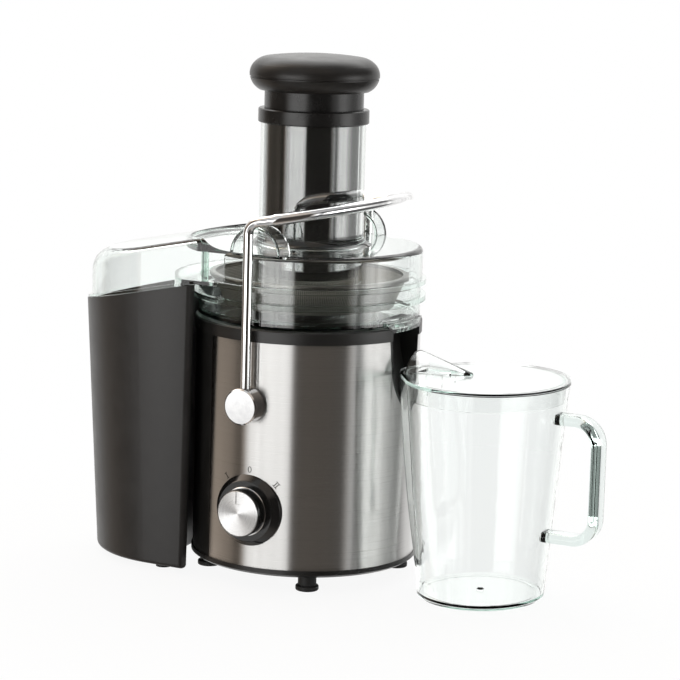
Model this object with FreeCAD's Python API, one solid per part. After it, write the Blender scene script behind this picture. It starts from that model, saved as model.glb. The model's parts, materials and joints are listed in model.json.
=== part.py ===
"""Centrifugal juicer: steel-wrapped motor base, clear bowl and lid, pulp bin and juice jug.

Millimetres. The model is laid out about the motor spindle: +Z up the spindle, -Y to the front
with the speed dial, +X to the juice spout and the jug, -X to the pulp bin. The floor is Z = 0.
On export everything moves along X, so that the origin is at the middle of the footprint.
"""
import FreeCAD
import Part
import math
import os

V = FreeCAD.Vector
UP = V(0, 0, 1)
FRONT = V(0, -1, 0)

# Base and housing
BODY_R = 85.0            # outside of the steel wrap
WRAP_T = 0.8
SHELL_T = 2.6
RING_R = 86.0            # black rings above and below the steel
FOOT_H = 12.0
PLATE_TOP_Z = 17.3
DECK_Z = 186.0
DECK_TOP_Z = 195.5
WRAP_START = -27.0       # degrees from the front, towards the spout
WRAP_END = 207.0
FOOT_R = 8.7
FOOT_STEM_R = 6.9
FOOT_CIRCLE_R = 72.0
FOOT_START = 32.0
PAD_H = 4.0
PLATE_FLOOR_Z = 15.0
SCREW_R = 1.5
SCREW_BORE_R = 1.6
SCREW_HEAD_R = 3.4
VENT_SLOTS = 12
VENT_SPAN = (24.0, 52.0)
VENT_HALF = 2.0

# Grommet for the mains lead, in the rear of the housing
GLAND_ANGLE = 219.0      # degrees from the front
GLAND_Z = 34.0
GLAND_R = 7.0
GLAND_BORE_R = 3.5

# Spout scoop in the side of the base
SCOOP_TOP_HALF = 23.0
SCOOP_MID_HALF = 20.0
SCOOP_MID_Z = 161.0
SCOOP_BULGE = (12.8, 143.0)
SCOOP_TIP_Z = 130.0
SCOOP_BACK_X = 66.0
SCOOP_WALL = 2.0

# Speed dial on the front
DIAL_Z = 60.0
BEZEL_R = (26.8, 23.2)   # at the steel and at the front
BEZEL_FACE = 89.6
KNOB_R = 17.6
CAP_R = 16.9
DIAL_FACE = 100.0        # distance of the dial's face in front of the spindle
CAP_T = 2.0
TRIM_R = 18.3            # bright ring round the knob, just in front of the bezel
TRIM_REACH = (90.2, 91.0)
POINTER = (7.1, 16.4)    # groove in the cap, from its middle outwards
POINTER_HALF = 1.9
POINTER_DEPTH = 0.6
DIAL_HOLE_R = 8.0
DIAL_SHAFT_R = 3.0
DIAL_SHAFT_REACH = (74.0, 95.0)
SWITCH_REACH = (58.0, 73.8)

# Locking bail
PIVOT_Z = 139.7
BAIL_CAP_R = 13.4
BAIL_CAP_BACK = 87.0
BAIL_FACE = 100.0
PIN_R = 4.5
PIN_GAP = 0.05
PIN_REACH = (73.0, 96.0)
BUSH_R = 7.0
BUSH_FLANGE_R = 9.0
BUSH_REACH = (77.0, 80.6, 86.2)
CAM_R = 9.0
CAM_REACH = (68.0, 73.0)
ROD_R = 3.7
GRIP_R = 4.2
ARM_Y = 92.8
ARM_TOP_Z = 273.5
BEND_R = 9.0
LOOP_TILT = 11.0
LOOP_REACH = 65.0
GRIP_START = 20.6

# Bowl
BOWL_R = 84.0
BOWL_FLANGE_R = 88.0
BOWL_FLOOR_Z = 197.0
BOWL_FLANGE_Z = (210.5, 214.5)
BOWL_TOP_Z = 222.7
BOWL_EDGE = 0.9                # bevel under the bowl's wall
CLEAR_T = 2.4
HUB_HOLE_R = 24.0
SPOUT_TOP = (29.0, 199.0)      # half width and height of the spout's slanting sides
SPOUT_BOTTOM = (20.5, 192.4)
SPOUT_X = 63.0
OUTLET_X = 77.0
OUTLET_HALF = 14.0

# Lid and feed chute
LID_R = 85.0
LID_FLANGE_R = 88.0
LID_Z = 223.0
LID_FLANGE_TOP_Z = 226.6
LID_TOP_Z = 250.0
LID_EDGE_R = 4.0
CHUTE_R = 39.4
CHUTE_BORE_R = 37.5
CHUTE_BOTTOM_Z = 222.0
CHUTE_TOP_Z = 340.6
CHUTE_FOOT_R = 9.0             # hollow rounding at the chute's foot
LUG_R = 21.0
LUG_FRONT = 84.0
LUG_BACK = 68.0

# Pulp cover (part of the lid) and pulp bin: both slope down, away from the base
SLOPE_DEG = 12.0
RIM_REF = (-90.0, 215.0)       # a point (x, z) of the bin's rim plane
COVER_RISE = 33.4              # cover's top edge above the rim
COVER_HALF = 80.5
COVER_END_X = -100.0           # centre of the round end
COVER_NEAR_X = -20.0
COVER_LOW_Z = 150.0            # the block starts here, well under the skirt
COVER_CROWN = 5.0
COVER_EDGE_R = (4.0, 26.0)     # rounding of the top edge, along the sides and at the end
COVER_SKIRT = 6.0
COVER_LEDGE = 3.0
COVER_LEDGE_T = 2.4
STEP_R = 92.0                  # the cover ends in a step round the lid's flat top
STEP_WALL = 1.4
STEP_FOOT_R = 10.0             # hollow rounding at the step's foot
COVER_RIB = (-46.6, -42.6, 4.6)  # upright rib inside the cover's wall: near and far x, depth
LIP_R = 99.0                   # floor lip between the bowl and the bin
BIN_BOTTOM_Z = 4.5
BIN_WALL = 2.6
BIN_TOP_Z = 226.0
BIN_HALF = (79.5, 85.4)        # half width, bottom and top
BIN_END_X = (-94.0, -100.0)    # centre of the round end, bottom and top
BIN_HOLLOW_R = (94.6, 95.0)    # hollow side that faces the base, bottom and top
BIN_CORNER_R = 4.0             # rounding between the flat sides and the hollow
BIN_FLOOR = 3.0
BIN_FOOT_R = 6.0
BIN_FEET = ((-87, 62), (-87, -62), (-146, 34), (-146, -34))

# Pusher
PUSHER_R = 36.9
PUSHER_WALL = 2.2
PUSHER_BOTTOM_Z = 226.0
COLLAR_R = 41.6
COLLAR_Z = (341.0, 351.6)
NECK_R = 37.2
NECK_TOP_Z = 365.0
KNOB_SEAM_Z = 374.5
KNOB_SEAM_R = 48.6
KNOB_SHOULDER = ((48.1, 380.6), (46.2, 384.2), (42.6, 387.5), (36.0, 390.0), (19.0, 391.8))
KNOB_TOP_Z = 392.4

# Filter basket
BASKET_RIM_R = 75.0
BASKET_RIM_Z = (225.0, 228.4)
CONE_TOP_R = 72.5
CONE_BOTTOM_R = 64.0
CONE_BOTTOM_Z = 205.0
CONE_T = 0.8
GRATER_T = 1.2
GRATER_HOLE_R = 6.0
TEETH_RINGS = 6
TEETH_PER_RING = 14
TEETH_FIRST_R = 18.0
TEETH_STEP = 7.0
BASKET_HUB_R = (16.0, 19.0)
COUPLING_R = 9.4
COUPLING_FOOT_R = 14.0
COUPLING_DROP = 7.4            # coupling's shoulder below the grater
COUPLING_H = 6.0

# Motor, on the spindle
SHAFT_R = 5.0
SHAFT_Z = (26.0, 203.0)
FAN_R = 46.0
FAN_Z = (29.0, 42.0)
FAN_BLADES = 11
LOWER_BRACKET_Z = (45.0, 53.0)
COMMUTATOR_Z = (57.0, 73.0)
COMMUTATOR_R = 13.0
STATOR_Z = (80.0, 124.0)
STATOR_HALF = (45.0, 38.0)
STATOR_BORE_R = 26.0
POLE_GAP = (22.0, 36.0, 22.0)  # near and far side, half width
COIL_R = (30.5, 35.5)
COIL_HALF = 21.5
COIL_OVER = 7.0                # coil ends beyond the stack
ARMATURE_R = 25.2
ARMATURE_SLOTS = 12
UPPER_BRACKET_Z = (134.0, 142.0)
BRACKET_HALF = (62.0, 13.0)
BRACKET_SEAT_R = 24.0
BEARING_R = 14.0
BEARING_SEAT = 1.5
POST_X = 55.0
POST_R = (7.0, 4.0)

# Juice jug, standing under the scoop
JUG_X = 151.5
JUG_HEIGHT = 161.0
JUG_DEPTH = 1.12               # front to back, against the width
JUG_WALL = 2.2
JUG_FLOOR = 4.4
JUG_BEVEL = 2.5
JUG_RECESS = (6.0, 1.6)        # hollow under the floor: in from the side, height
JUG_NUB = (3.2, 1.2, 1.6)      # moulding nub on the floor: radii and height
JUG_SECTIONS = (               # height, round radius, reach of the beak, beak radius
    (JUG_BEVEL, 46.4, 47.6, 32.0),
    (80.0, 52.6, 60.4, 30.0),
    (JUG_HEIGHT, 59.2, 68.0, 30.0),
)
HANDLE_REACH = 34.3            # outside of the handle beyond the jug's rim
HANDLE_TOP_Z = 140.0
HANDLE_BOTTOM_Z = 52.0
HANDLE_CORNER_R = 17.0
HANDLE_SIZE = (17.0, 8.0)
HANDLE_ROOT = 44.0             # the handle starts here, inside the jug's wall
JUG_LID_T = 2.4
JUG_LID_LIFT = 0.2
JUG_LID_SKIRT = 12.0
JUG_SKIRT_IN = 3.4
JUG_SKIRT_T = 1.6
JUG_RIB_Y = 11.0
JUG_RIB_T = 1.6
HOOD_MOUTH_X = 94.0
HOOD_TIP_X = 138.0
HOOD_HALF = 22.0
HOOD_RISE = 14.6
HOOD_T = 1.8

# Running clearances
GAP = 0.3


def axis_turn(angle):
    """Unit direction at an angle from the front, turning towards the spout."""
    a = math.radians(angle)
    return V(math.sin(a), -math.cos(a), 0)


def disc(radius, z0, z1, x=0.0, y=0.0):
    return Part.makeCylinder(radius, z1 - z0, V(x, y, z0), UP)


def tube(outer, inner, z0, z1):
    return disc(outer, z0, z1).cut(disc(inner, z0 - 1, z1 + 1))


def box(x0, x1, y0, y1, z0, z1):
    return Part.makeBox(x1 - x0, y1 - y0, z1 - z0, V(x0, y0, z0))


def face_of(points):
    return Part.Face(Part.makePolygon([V(*p) for p in points + points[:1]]))


def lathe(profile):
    """Solid of revolution about the spindle from (radius, height) points."""
    return face_of([(r, 0, z) for r, z in profile]).revolve(V(0, 0, 0), UP, 360)


def lathe_front(profile, z):
    """Solid of revolution about a front-to-back axis at height z, from (radius, distance forward)."""
    solid = lathe(profile)
    solid.rotate(V(0, 0, 0), V(1, 0, 0), 90)
    solid.translate(V(0, 0, z))
    return solid


def rod_front(radius, near, far, z):
    """Round bar along the front axis, between two distances in front of the spindle."""
    return Part.makeCylinder(radius, far - near, V(0, -near, z), FRONT)


def to_rear(shape):
    """Copy of a piece on the front, turned round to the rear."""
    other = shape.copy()
    return other.mirror(V(0, 0, 0), V(0, 1, 0))


def ring_sector(outer, inner, z0, z1, start, end):
    """Part of a ring between two angles from the front."""
    solid = Part.makeCylinder(outer, z1 - z0, V(0, 0, z0), UP, end - start)
    solid = solid.cut(disc(inner, z0 - 1, z1 + 1))
    solid.rotate(V(0, 0, 0), UP, start - 90)
    return solid


def around(shape, count, start=0.0):
    """Copies of a piece, evenly spaced about the spindle."""
    copies = []
    for index in range(count):
        one = shape.copy()
        one.rotate(V(0, 0, 0), UP, start + index * 360.0 / count)
        copies.append(one)
    return copies


def sweep(path, profile):
    shell = Part.BRepOffsetAPI.MakePipeShell(path)
    shell.add(profile)
    shell.setTransitionMode(1)
    shell.build()
    shell.makeSolid()
    return shell.shape()


def rim_z(x):
    return RIM_REF[1] + math.tan(math.radians(SLOPE_DEG)) * (x - RIM_REF[0])


def below_slope(lift):
    """Everything under the plane of the bin's rim, raised by lift."""
    far = 400.0
    profile = [(-far, 0, -far), (far, 0, -far), (far, 0, rim_z(far) + lift), (-far, 0, rim_z(-far) + lift)]
    solid = face_of(profile).extrude(V(0, 2 * far, 0))
    solid.translate(V(0, -far, 0))
    return solid


# Base

def foot_places():
    return [axis_turn(FOOT_START + 90 * k) * FOOT_CIRCLE_R for k in range(4)]


def base_plate():
    inner = BODY_R - WRAP_T - SHELL_T - GAP
    plate = lathe([(0, FOOT_H), (BODY_R - 2, FOOT_H), (RING_R, FOOT_H + 2), (RING_R, PLATE_TOP_Z),
                   (inner, PLATE_TOP_Z), (inner, PLATE_FLOOR_Z), (0, PLATE_FLOOR_Z)])
    slot = box(*VENT_SPAN, -VENT_HALF, VENT_HALF, FOOT_H - 1, PLATE_FLOOR_Z + 1)
    for one in around(slot, VENT_SLOTS, 180.0 / VENT_SLOTS):
        plate = plate.cut(one)
    for place in foot_places():
        plate = plate.cut(disc(SCREW_BORE_R, FOOT_H - 1, PLATE_TOP_Z + 1, place.x, place.y))
    return plate


def feet():
    solids = []
    for place in foot_places():
        pad = disc(FOOT_R, 0, PAD_H, place.x, place.y)
        pad = pad.makeFillet(1.2, pad.Edges)
        stem = disc(FOOT_STEM_R, PAD_H - 0.5, FOOT_H, place.x, place.y)
        bore = disc(SCREW_BORE_R, PAD_H + 1, FOOT_H + 1, place.x, place.y)
        solids.append(pad.fuse(stem).removeSplitter().cut(bore))
    return Part.makeCompound(solids)


def base_screws():
    """Screws that hold the feet and the base plate."""
    solids = []
    for place in foot_places():
        shank = disc(SCREW_R, PAD_H + 2, PLATE_FLOOR_Z, place.x, place.y)
        head = disc(SCREW_HEAD_R, PLATE_FLOOR_Z, PLATE_FLOOR_Z + 2, place.x, place.y)
        solids.append(shank.fuse(head).removeSplitter())
    return Part.makeCompound(solids)


def scoop_prism(inset, x0, x1):
    """Scoop outline seen from the spout side, drawn in by inset and run along X."""
    def point(half, z):
        return V(x0, half, z)
    top = DECK_Z + 1
    half_top = SCOOP_TOP_HALF - inset
    half_mid = SCOOP_MID_HALF - inset
    bulge_y = SCOOP_BULGE[0] - 0.75 * inset
    bulge_z = SCOOP_BULGE[1] + 0.6 * inset
    tip = V(x0, 0, SCOOP_TIP_Z + inset)
    edges = [
        Part.LineSegment(point(half_top, top), point(half_mid, SCOOP_MID_Z)).toShape(),
        Part.Arc(point(half_mid, SCOOP_MID_Z), point(bulge_y, bulge_z), tip).toShape(),
        Part.Arc(tip, point(-bulge_y, bulge_z), point(-half_mid, SCOOP_MID_Z)).toShape(),
        Part.LineSegment(point(-half_mid, SCOOP_MID_Z), point(-half_top, top)).toShape(),
        Part.LineSegment(point(-half_top, top), point(half_top, top)).toShape(),
    ]
    return Part.Face(Part.Wire(edges)).extrude(V(x1 - x0, 0, 0))


def scoop_ramp(offset):
    """Space in front of the scoop's sloping back, moved along X by offset."""
    top_x = SCOOP_BACK_X + offset
    tip_x = BODY_R - 4 + offset
    outline = [(top_x, -40, DECK_Z + 2), (tip_x, -40, SCOOP_TIP_Z - 4), (BODY_R + 20, -40, SCOOP_TIP_Z - 4),
               (BODY_R + 20, -40, DECK_Z + 2)]
    return face_of(outline).extrude(V(0, 80, 0))


def spout_scoop():
    outside = scoop_prism(0.15, SCOOP_BACK_X - 8, BODY_R + 5).common(scoop_ramp(-SCOOP_WALL))
    outside = outside.common(disc(BODY_R, SCOOP_TIP_Z - 5, DECK_Z))
    hollow = scoop_prism(SCOOP_WALL, SCOOP_BACK_X - 8, BODY_R + 10).common(scoop_ramp(0))
    return outside.cut(hollow)


def housing_shell():
    inner = BODY_R - WRAP_T - SHELL_T
    shell = tube(BODY_R - WRAP_T - 0.05, inner, PLATE_TOP_Z, DECK_Z)
    bare = ring_sector(BODY_R, inner + 1, PLATE_TOP_Z, DECK_Z, WRAP_END + 0.2, WRAP_START + 360 - 0.2)
    shell = shell.fuse(bare).removeSplitter()
    shell = shell.cut(scoop_prism(0, SCOOP_BACK_X, BODY_R + 5))
    shell = shell.cut(rod_front(DIAL_HOLE_R, 60, 120, DIAL_Z))
    shell = shell.cut(rod_front(BUSH_R, -120, 120, PIVOT_Z))
    return shell.cut(gland_bore())


def steel_wrap():
    wrap = ring_sector(BODY_R, BODY_R - WRAP_T, PLATE_TOP_Z, DECK_Z, WRAP_START, WRAP_END)
    wrap = wrap.cut(scoop_prism(0, SCOOP_BACK_X, BODY_R + 5))
    wrap = wrap.cut(rod_front(DIAL_HOLE_R, 60, 120, DIAL_Z))
    return wrap.cut(rod_front(BUSH_R, -120, 120, PIVOT_Z))


def spout_prism(inset, x0, top_z):
    """Bowl's spout between its slanting sides, drawn in by inset, from x0 outwards."""
    low_half, low_z = SPOUT_BOTTOM
    high_half, high_z = SPOUT_TOP
    lean = (high_half - low_half) / (high_z - low_z)
    bottom = low_z + inset
    low_y = low_half + lean * inset - inset * math.sqrt(1 + lean ** 2)
    high_y = low_y + lean * (top_z - bottom)
    outline = [(x0, -low_y, bottom), (x0, low_y, bottom), (x0, high_y, top_z), (x0, -high_y, top_z)]
    return face_of(outline).extrude(V(100 - x0, 0, 0))


def top_deck():
    """Black ring and dished deck that carries the bowl."""
    hub_r = HUB_HOLE_R - 4
    deck = lathe([(hub_r, DECK_Z), (RING_R, DECK_Z), (RING_R, DECK_TOP_Z - 1), (RING_R - 1, DECK_TOP_Z),
                  (RING_R - 6, DECK_TOP_Z), (RING_R - 9, DECK_Z + 4.5), (HUB_HOLE_R, DECK_Z + 4.5),
                  (HUB_HOLE_R, DECK_TOP_Z + 6), (hub_r, DECK_TOP_Z + 6)])
    notch = spout_prism(-GAP, SPOUT_X - 1, DECK_TOP_Z + 4)
    half = SCOOP_TOP_HALF - SCOOP_WALL
    drop = box(SCOOP_BACK_X + 3, 100, -half, half, DECK_Z - 1, DECK_TOP_Z)
    return deck.cut(notch).cut(drop)


def gland_bore():
    out = axis_turn(GLAND_ANGLE)
    return Part.makeCylinder(GLAND_R, 30, out * 70 + V(0, 0, GLAND_Z), out)


def cord_gland():
    """Grommet in the rear of the housing, where the mains lead goes in."""
    far = BODY_R + 4
    profile = [(GLAND_BORE_R, 78), (GLAND_R + 3, 78), (GLAND_R + 3, BODY_R - WRAP_T - SHELL_T - 0.6),
               (GLAND_R, 81), (GLAND_R, BODY_R + 0.5), (GLAND_R + 2.5, BODY_R + 0.5), (GLAND_R + 1.5, far),
               (GLAND_BORE_R, far)]
    grommet = lathe_front(profile, 0)
    grommet.rotate(V(0, 0, 0), UP, GLAND_ANGLE)
    grommet.translate(V(0, 0, GLAND_Z))
    inside = disc(BODY_R - WRAP_T - SHELL_T, 0, 80)
    within = grommet.common(inside)
    outside = grommet.cut(disc(BODY_R, 0, 80))
    neck = grommet.common(gland_bore())
    return within.fuse([neck, outside]).removeSplitter()


# Speed dial

def dial_bezel():
    inner = KNOB_R + 0.4
    wide, slim = BEZEL_R
    ring = lathe_front([(inner, 76), (wide, 76), (wide, BODY_R), (slim, BEZEL_FACE - 0.6),
                        (slim - 0.6, BEZEL_FACE), (inner, BEZEL_FACE)], DIAL_Z)
    return ring.cut(disc(BODY_R, 0, 120))


def dial_knob():
    base = BODY_R + 1.0
    seat = DIAL_FACE - CAP_T
    lip = DIAL_FACE - 0.4
    knob = lathe_front([(0, base), (KNOB_R, base), (KNOB_R, lip - 0.4), (KNOB_R - 0.4, lip), (CAP_R, lip),
                        (CAP_R, seat), (0, seat)], DIAL_Z)
    return knob.cut(rod_front(DIAL_SHAFT_R, 60, DIAL_SHAFT_REACH[1], DIAL_Z))


def dial_ring():
    """Bright trim ring on the knob."""
    near, far = TRIM_REACH
    profile = [(KNOB_R, near), (TRIM_R, near), (TRIM_R, far - 0.3), (TRIM_R - 0.3, far), (KNOB_R, far)]
    return lathe_front(profile, DIAL_Z)


def dial_cap():
    cap = rod_front(CAP_R, DIAL_FACE - CAP_T, DIAL_FACE, DIAL_Z)
    half = POINTER_HALF
    low, high = POINTER
    groove = box(-half, half, -DIAL_FACE - 1, -DIAL_FACE + POINTER_DEPTH, DIAL_Z + low, DIAL_Z + high)
    return cap.makeFillet(0.5, [cap.Edges[0]]).cut(groove)


def dial_shaft():
    return rod_front(DIAL_SHAFT_R, *DIAL_SHAFT_REACH, DIAL_Z)


def speed_switch():
    """Rotary switch behind the dial."""
    near, far = SWITCH_REACH
    body = box(-17, 17, -far, -near, DIAL_Z - 15, DIAL_Z + 15)
    tabs = [box(x - 1, x + 1, -near, -near + 7, DIAL_Z - 3, DIAL_Z + 3) for x in (-10, 0, 10)]
    collar = rod_front(DIAL_HOLE_R - 0.2, far, 81, DIAL_Z)
    pocket = rod_front(DIAL_SHAFT_R + PIN_GAP, far - 1.8, 90, DIAL_Z)
    return body.fuse(tabs + [collar]).removeSplitter().cut(pocket)


# Locking bail

def loop_point(u, v):
    """Point of the bail's tilted loop: u along the tilt from the arms' top, v across."""
    tilt = math.radians(LOOP_TILT)
    return V(u * math.cos(tilt), v, ARM_TOP_Z + u * math.sin(tilt))


def bend_leg():
    """Length of the bend between arm and loop, measured along either of them."""
    return BEND_R * math.tan(math.radians((90 - LOOP_TILT) / 2))


def loop_edge(start):
    """Half-oval loop from the front side to the rear side, starting at u = start."""
    leg = bend_leg()
    oval = Part.Ellipse(loop_point(leg, -ARM_Y), loop_point(LOOP_REACH, 0), loop_point(leg, 0))
    skip = math.asin((start - leg) / (LOOP_REACH - leg))
    return Part.ArcOfEllipse(oval, skip, math.pi - skip).toShape()


def arm_bend(side):
    """Round bend from the upright arm into the loop, and the points where it starts and ends."""
    leg = bend_leg()
    low = V(0, side * ARM_Y, ARM_TOP_Z - leg)
    high = loop_point(leg, side * ARM_Y)
    angle = math.radians((90 - LOOP_TILT) / 2)
    middle = V(BEND_R * (1 - math.cos(angle)), side * ARM_Y, low.z + BEND_R * math.sin(angle))
    return low, middle, high


def bail_rod():
    foot_z = PIVOT_Z + BAIL_CAP_R - 6
    low_f, mid_f, high_f = arm_bend(-1)
    low_r, mid_r, high_r = arm_bend(1)
    edges = [Part.LineSegment(V(0, -ARM_Y, foot_z), low_f).toShape(),
             Part.Arc(low_f, mid_f, high_f).toShape(),
             loop_edge(bend_leg()),
             Part.Arc(high_r, mid_r, low_r).toShape(),
             Part.LineSegment(low_r, V(0, ARM_Y, foot_z)).toShape()]
    circle = Part.Wire(Part.Circle(V(0, -ARM_Y, foot_z), UP, ROD_R).toShape())
    return sweep(Part.Wire(edges), circle)


def bail_grip(rod):
    """Thicker tube over the loop, for the hand."""
    edge = loop_edge(GRIP_START)
    start = edge.valueAt(edge.FirstParameter)
    along = edge.tangentAt(edge.FirstParameter)
    return sweep(Part.Wire([edge]), Part.Wire(Part.Circle(start, along, GRIP_R).toShape())).cut(rod)


def bail_cap(rod):
    """Turned cap that joins the rod to its pivot pin, on the front."""
    back = BAIL_CAP_BACK
    cap = lathe_front([(0, back), (BAIL_CAP_R - 0.6, back), (BAIL_CAP_R, back + 0.6),
                       (BAIL_CAP_R, BAIL_FACE - 1), (BAIL_CAP_R - 1, BAIL_FACE), (0, BAIL_FACE)], PIVOT_Z)
    return cap.cut(rod_front(PIN_R, 60, PIN_REACH[1], PIVOT_Z)).cut(rod)


def pivot_pin():
    return rod_front(PIN_R, *PIN_REACH, PIVOT_Z)


def pivot_bush():
    """Flanged bush in the wall of the housing."""
    inside, shoulder, outside = BUSH_REACH
    bore = PIN_R + PIN_GAP
    profile = [(bore, inside), (BUSH_FLANGE_R, inside), (BUSH_FLANGE_R, shoulder), (BUSH_R, shoulder),
               (BUSH_R, outside), (bore, outside)]
    return lathe_front(profile, PIVOT_Z)


def interlock_cam():
    """Cam on the inner end of the front pin."""
    cam = rod_front(CAM_R, *CAM_REACH, PIVOT_Z)
    return cam.cut(box(-12, 12, -80, -60, PIVOT_Z + CAM_R - 3.5, PIVOT_Z + 12))


def interlock_switch():
    """Switch that lets the motor run only with the bail closed."""
    body = box(-10, 10, -74, -66, PIVOT_Z + 11.5, PIVOT_Z + 22)
    button = box(-1.5, 1.5, -71.5, -68.5, PIVOT_Z + 9.6, PIVOT_Z + 11.5)
    return body.fuse(button).removeSplitter()


# Bowl, lid and pulp bin

def juice_bowl():
    wall = BOWL_R - CLEAR_T
    low, high = BOWL_FLANGE_Z
    floor = BOWL_FLOOR_Z
    bore = HUB_HOLE_R + 0.6
    collar = bore + CLEAR_T
    bowl = lathe([(bore, floor), (BOWL_R - BOWL_EDGE, floor), (BOWL_R, floor + BOWL_EDGE), (BOWL_R, low),
                  (BOWL_FLANGE_R, low), (BOWL_FLANGE_R, high), (BOWL_R, high), (BOWL_R, BOWL_TOP_Z),
                  (wall, BOWL_TOP_Z), (wall, floor + 5), (wall - 2.4, floor + CLEAR_T),
                  (collar, floor + CLEAR_T), (collar, floor + 6), (bore, floor + 6)])
    spout = spout_prism(0, SPOUT_X, SPOUT_TOP[1]).common(disc(RING_R, 180, 220))
    channel = spout_prism(CLEAR_T, SPOUT_X + CLEAR_T, floor + 4).common(disc(RING_R - CLEAR_T, 180, 220))
    bottom = SPOUT_BOTTOM[1]
    outlet = box(OUTLET_X - 3, OUTLET_X + 3, -OUTLET_HALF, OUTLET_HALF, bottom - 1, floor)
    outlet = outlet.fuse(disc(5, bottom - 1, floor, OUTLET_X, 0))
    return bowl.fuse(spout).removeSplitter().cut(channel).cut(outlet)


def end_outline(half, end_x, near_x, z):
    """Plan with one round end, open towards the base."""
    edges = [
        Part.LineSegment(V(near_x, -half, z), V(end_x, -half, z)).toShape(),
        Part.Arc(V(end_x, -half, z), V(end_x - half, 0, z), V(end_x, half, z)).toShape(),
        Part.LineSegment(V(end_x, half, z), V(near_x, half, z)).toShape(),
        Part.LineSegment(V(near_x, half, z), V(near_x, -half, z)).toShape(),
    ]
    return Part.Face(Part.Wire(edges))


def cover_crown(lift, half):
    """Large roller whose upper side is the cover's crowned top."""
    a = math.radians(SLOPE_DEG)
    radius = (half ** 2 + COVER_CROWN ** 2) / (2 * COVER_CROWN)
    along = V(math.cos(a), 0, math.sin(a))
    out = V(-math.sin(a), 0, math.cos(a))
    start = V(-400, 0, rim_z(-400) + lift) + out * (COVER_CROWN - radius)
    roller = Part.makeCylinder(radius, 600, start, along)
    roller.rotate(start, along, 45)
    return roller


def cover_half(half, lift, inset):
    """Front half of the pulp cover; its top edge rounds off more and more towards the end."""
    low = COVER_LOW_Z
    diagonal = half * math.sqrt(0.5)
    end = V(COVER_END_X - half, 0, low)
    corner = V(COVER_END_X, -half, low)
    edges = [
        Part.LineSegment(V(COVER_NEAR_X, -half, low), corner).toShape(),
        Part.Arc(corner, V(COVER_END_X - diagonal, -diagonal, low), end).toShape(),
        Part.LineSegment(end, V(COVER_NEAR_X, 0, low)).toShape(),
        Part.LineSegment(V(COVER_NEAR_X, 0, low), V(COVER_NEAR_X, -half, low)).toShape(),
    ]
    block = Part.Face(Part.Wire(edges)).extrude(V(0, 0, low)).common(cover_crown(lift, half))
    round_edge = [e for e in block.Edges if e.BoundBox.ZMin > low + 10 and e.BoundBox.YMin < 0.1 - half
                  and e.BoundBox.XMin < COVER_END_X - 1]
    return block.makeFillet(COVER_EDGE_R[0] - inset, COVER_EDGE_R[1] - inset, round_edge)


def cover_full(inset):
    """Pulp cover before its step is cut, drawn in on every side by inset."""
    front = cover_half(COVER_HALF - inset, COVER_RISE - inset, inset)
    return front.fuse(to_rear(front)).removeSplitter()


def cover_block(full, inset, step_r):
    block = full.cut(disc(step_r, LID_TOP_Z - inset, 320))
    return block.cut(disc(LIP_R + inset, 100, LID_Z + inset))


def hollow_foot(radius, near, far):
    """Ring under a hollow quarter round that starts on the lid's top at the radius near."""
    sink = 0.2
    low = LID_TOP_Z - sink
    high = low + abs(far - near)
    turn = near + (far - near) * math.sqrt(0.5)
    rise = high - radius * math.sqrt(0.5)
    deep = far + math.copysign(1.0, far - near)
    corners = [(near, low), (far, high), (deep, high), (deep, low - 1), (near, low - 1)]
    return arc_profile(corners, {0: (turn, rise)})


def cover_rib():
    """Upright rib where the cover's front wall ends at the step."""
    near, far, depth = COVER_RIB
    post = box(near, far, -COVER_HALF, depth - COVER_HALF, LID_Z + 1, LID_TOP_Z + 20)
    return post.common(cover_block(cover_full(0), 0, STEP_R))


def cover_outside():
    full = cover_full(0)
    foot = hollow_foot(STEP_FOOT_R, STEP_R - STEP_FOOT_R, STEP_R).common(full)
    block = cover_block(full, 0, STEP_R)
    skirt_cut = below_slope(-COVER_SKIRT)
    ledge = end_outline(COVER_HALF + COVER_LEDGE, COVER_END_X, -52, COVER_LOW_Z).extrude(V(0, 0, COVER_LOW_Z))
    ledge = ledge.common(below_slope(COVER_LEDGE_T)).cut(below_slope(GAP)).cut(disc(LIP_R + 1, 100, 320))
    return block.cut(skirt_cut).fuse([ledge, foot])


def lid_lug():
    """Half-round catch on the lid, hollow towards the chute."""
    lug = rod_front(LUG_R, LUG_BACK, LUG_FRONT, LID_TOP_Z - 0.5)
    lug = lug.makeFillet(1.5, [lug.Edges[0]])
    hollow = rod_front(LUG_R - CLEAR_T, LUG_BACK - 2, LUG_FRONT - CLEAR_T, LID_TOP_Z - 0.5)
    above = box(-30, 30, -100, 0, LID_TOP_Z - 0.5, LID_TOP_Z + 40)
    floor = box(-30, 30, -100, 0, LID_TOP_Z, LID_TOP_Z + 40)
    return lug.common(above).cut(hollow.common(floor))


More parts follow.
